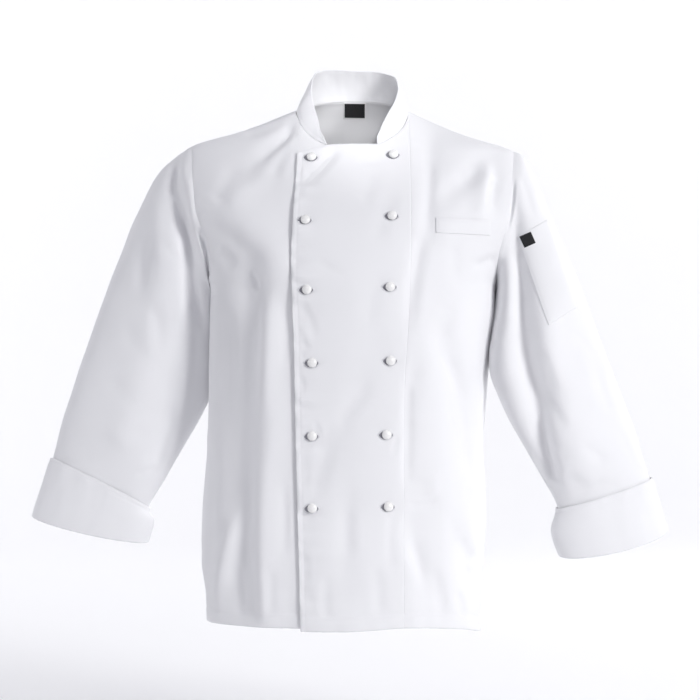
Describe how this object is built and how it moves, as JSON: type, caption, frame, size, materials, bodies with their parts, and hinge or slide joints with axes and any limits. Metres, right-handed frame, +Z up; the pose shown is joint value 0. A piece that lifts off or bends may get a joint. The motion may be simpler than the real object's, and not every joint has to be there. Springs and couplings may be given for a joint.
{
  "type": "chef jacket",
  "caption": "White double-breasted chef's jacket with a standing collar, turned-back cuffs, domed stud buttons, a chest welt pocket and a pen pocket on the left sleeve",
  "frame": {"origin": "in the middle of the neck opening, level with the two high shoulder points, where the jacket rests on its wearer", "axes": "+Z up towards the collar, +X towards the wearer's left sleeve, +Y towards the back; the buttoned front faces -Y"},
  "size_m": [0.939, 0.26, 0.8294],
  "materials": {
    "cloth": "matt white cotton twill",
    "button": "glossy white",
    "label": "woven, near black"
  },
  "bodies": {
    "root": {"back": "cloth", "right_front": "cloth", "left_front_placket": "cloth", "left_front_side": "cloth", "right_sleeve": "cloth", "right_cuff": "cloth", "left_sleeve": "cloth", "left_cuff": "cloth", "collar": "cloth", "chest_pocket_welt": "cloth", "sleeve_pen_pocket": "cloth", "sleeve_label": "label", "neck_label": "label", "button_right_1": "button", "button_left_1": "button", "button_right_2": "button", "button_left_2": "button", "button_right_3": "button", "button_left_3": "button", "button_right_4": "button", "button_left_4": "button", "button_right_5": "button", "button_left_5": "button", "button_right_6": "button", "button_left_6": "button"}
  },
  "joints": []
}
